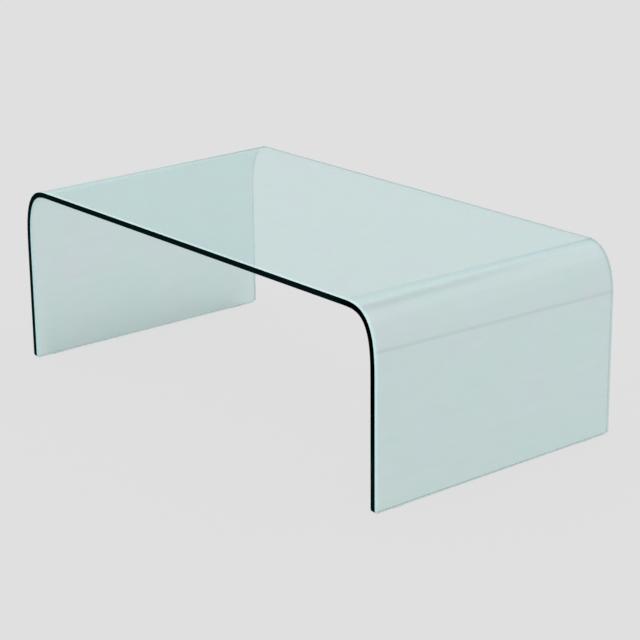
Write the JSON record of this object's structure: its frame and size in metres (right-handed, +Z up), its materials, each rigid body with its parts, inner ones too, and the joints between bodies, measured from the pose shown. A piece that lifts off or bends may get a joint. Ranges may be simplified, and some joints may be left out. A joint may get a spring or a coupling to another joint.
{
  "type": "waterfall coffee table",
  "caption": "Low rectangular coffee table made from one sheet of clear green-tinted glass, bent down at both ends into legs, on thin clear pads.",
  "frame": {"origin": "on the floor, under the middle of the table top", "axes": "+X along the table's length, +Y from the front long edge to the back one, +Z up"},
  "size_m": [1.1, 0.59, 0.375],
  "materials": {
    "float_glass": "polished",
    "clear_pad": "satin"
  },
  "bodies": {
    "root": {"bent_glass_sheet": "float_glass", "pad_front_left": "clear_pad", "pad_front_right": "clear_pad", "pad_back_left": "clear_pad", "pad_back_right": "clear_pad"}
  },
  "joints": []
}
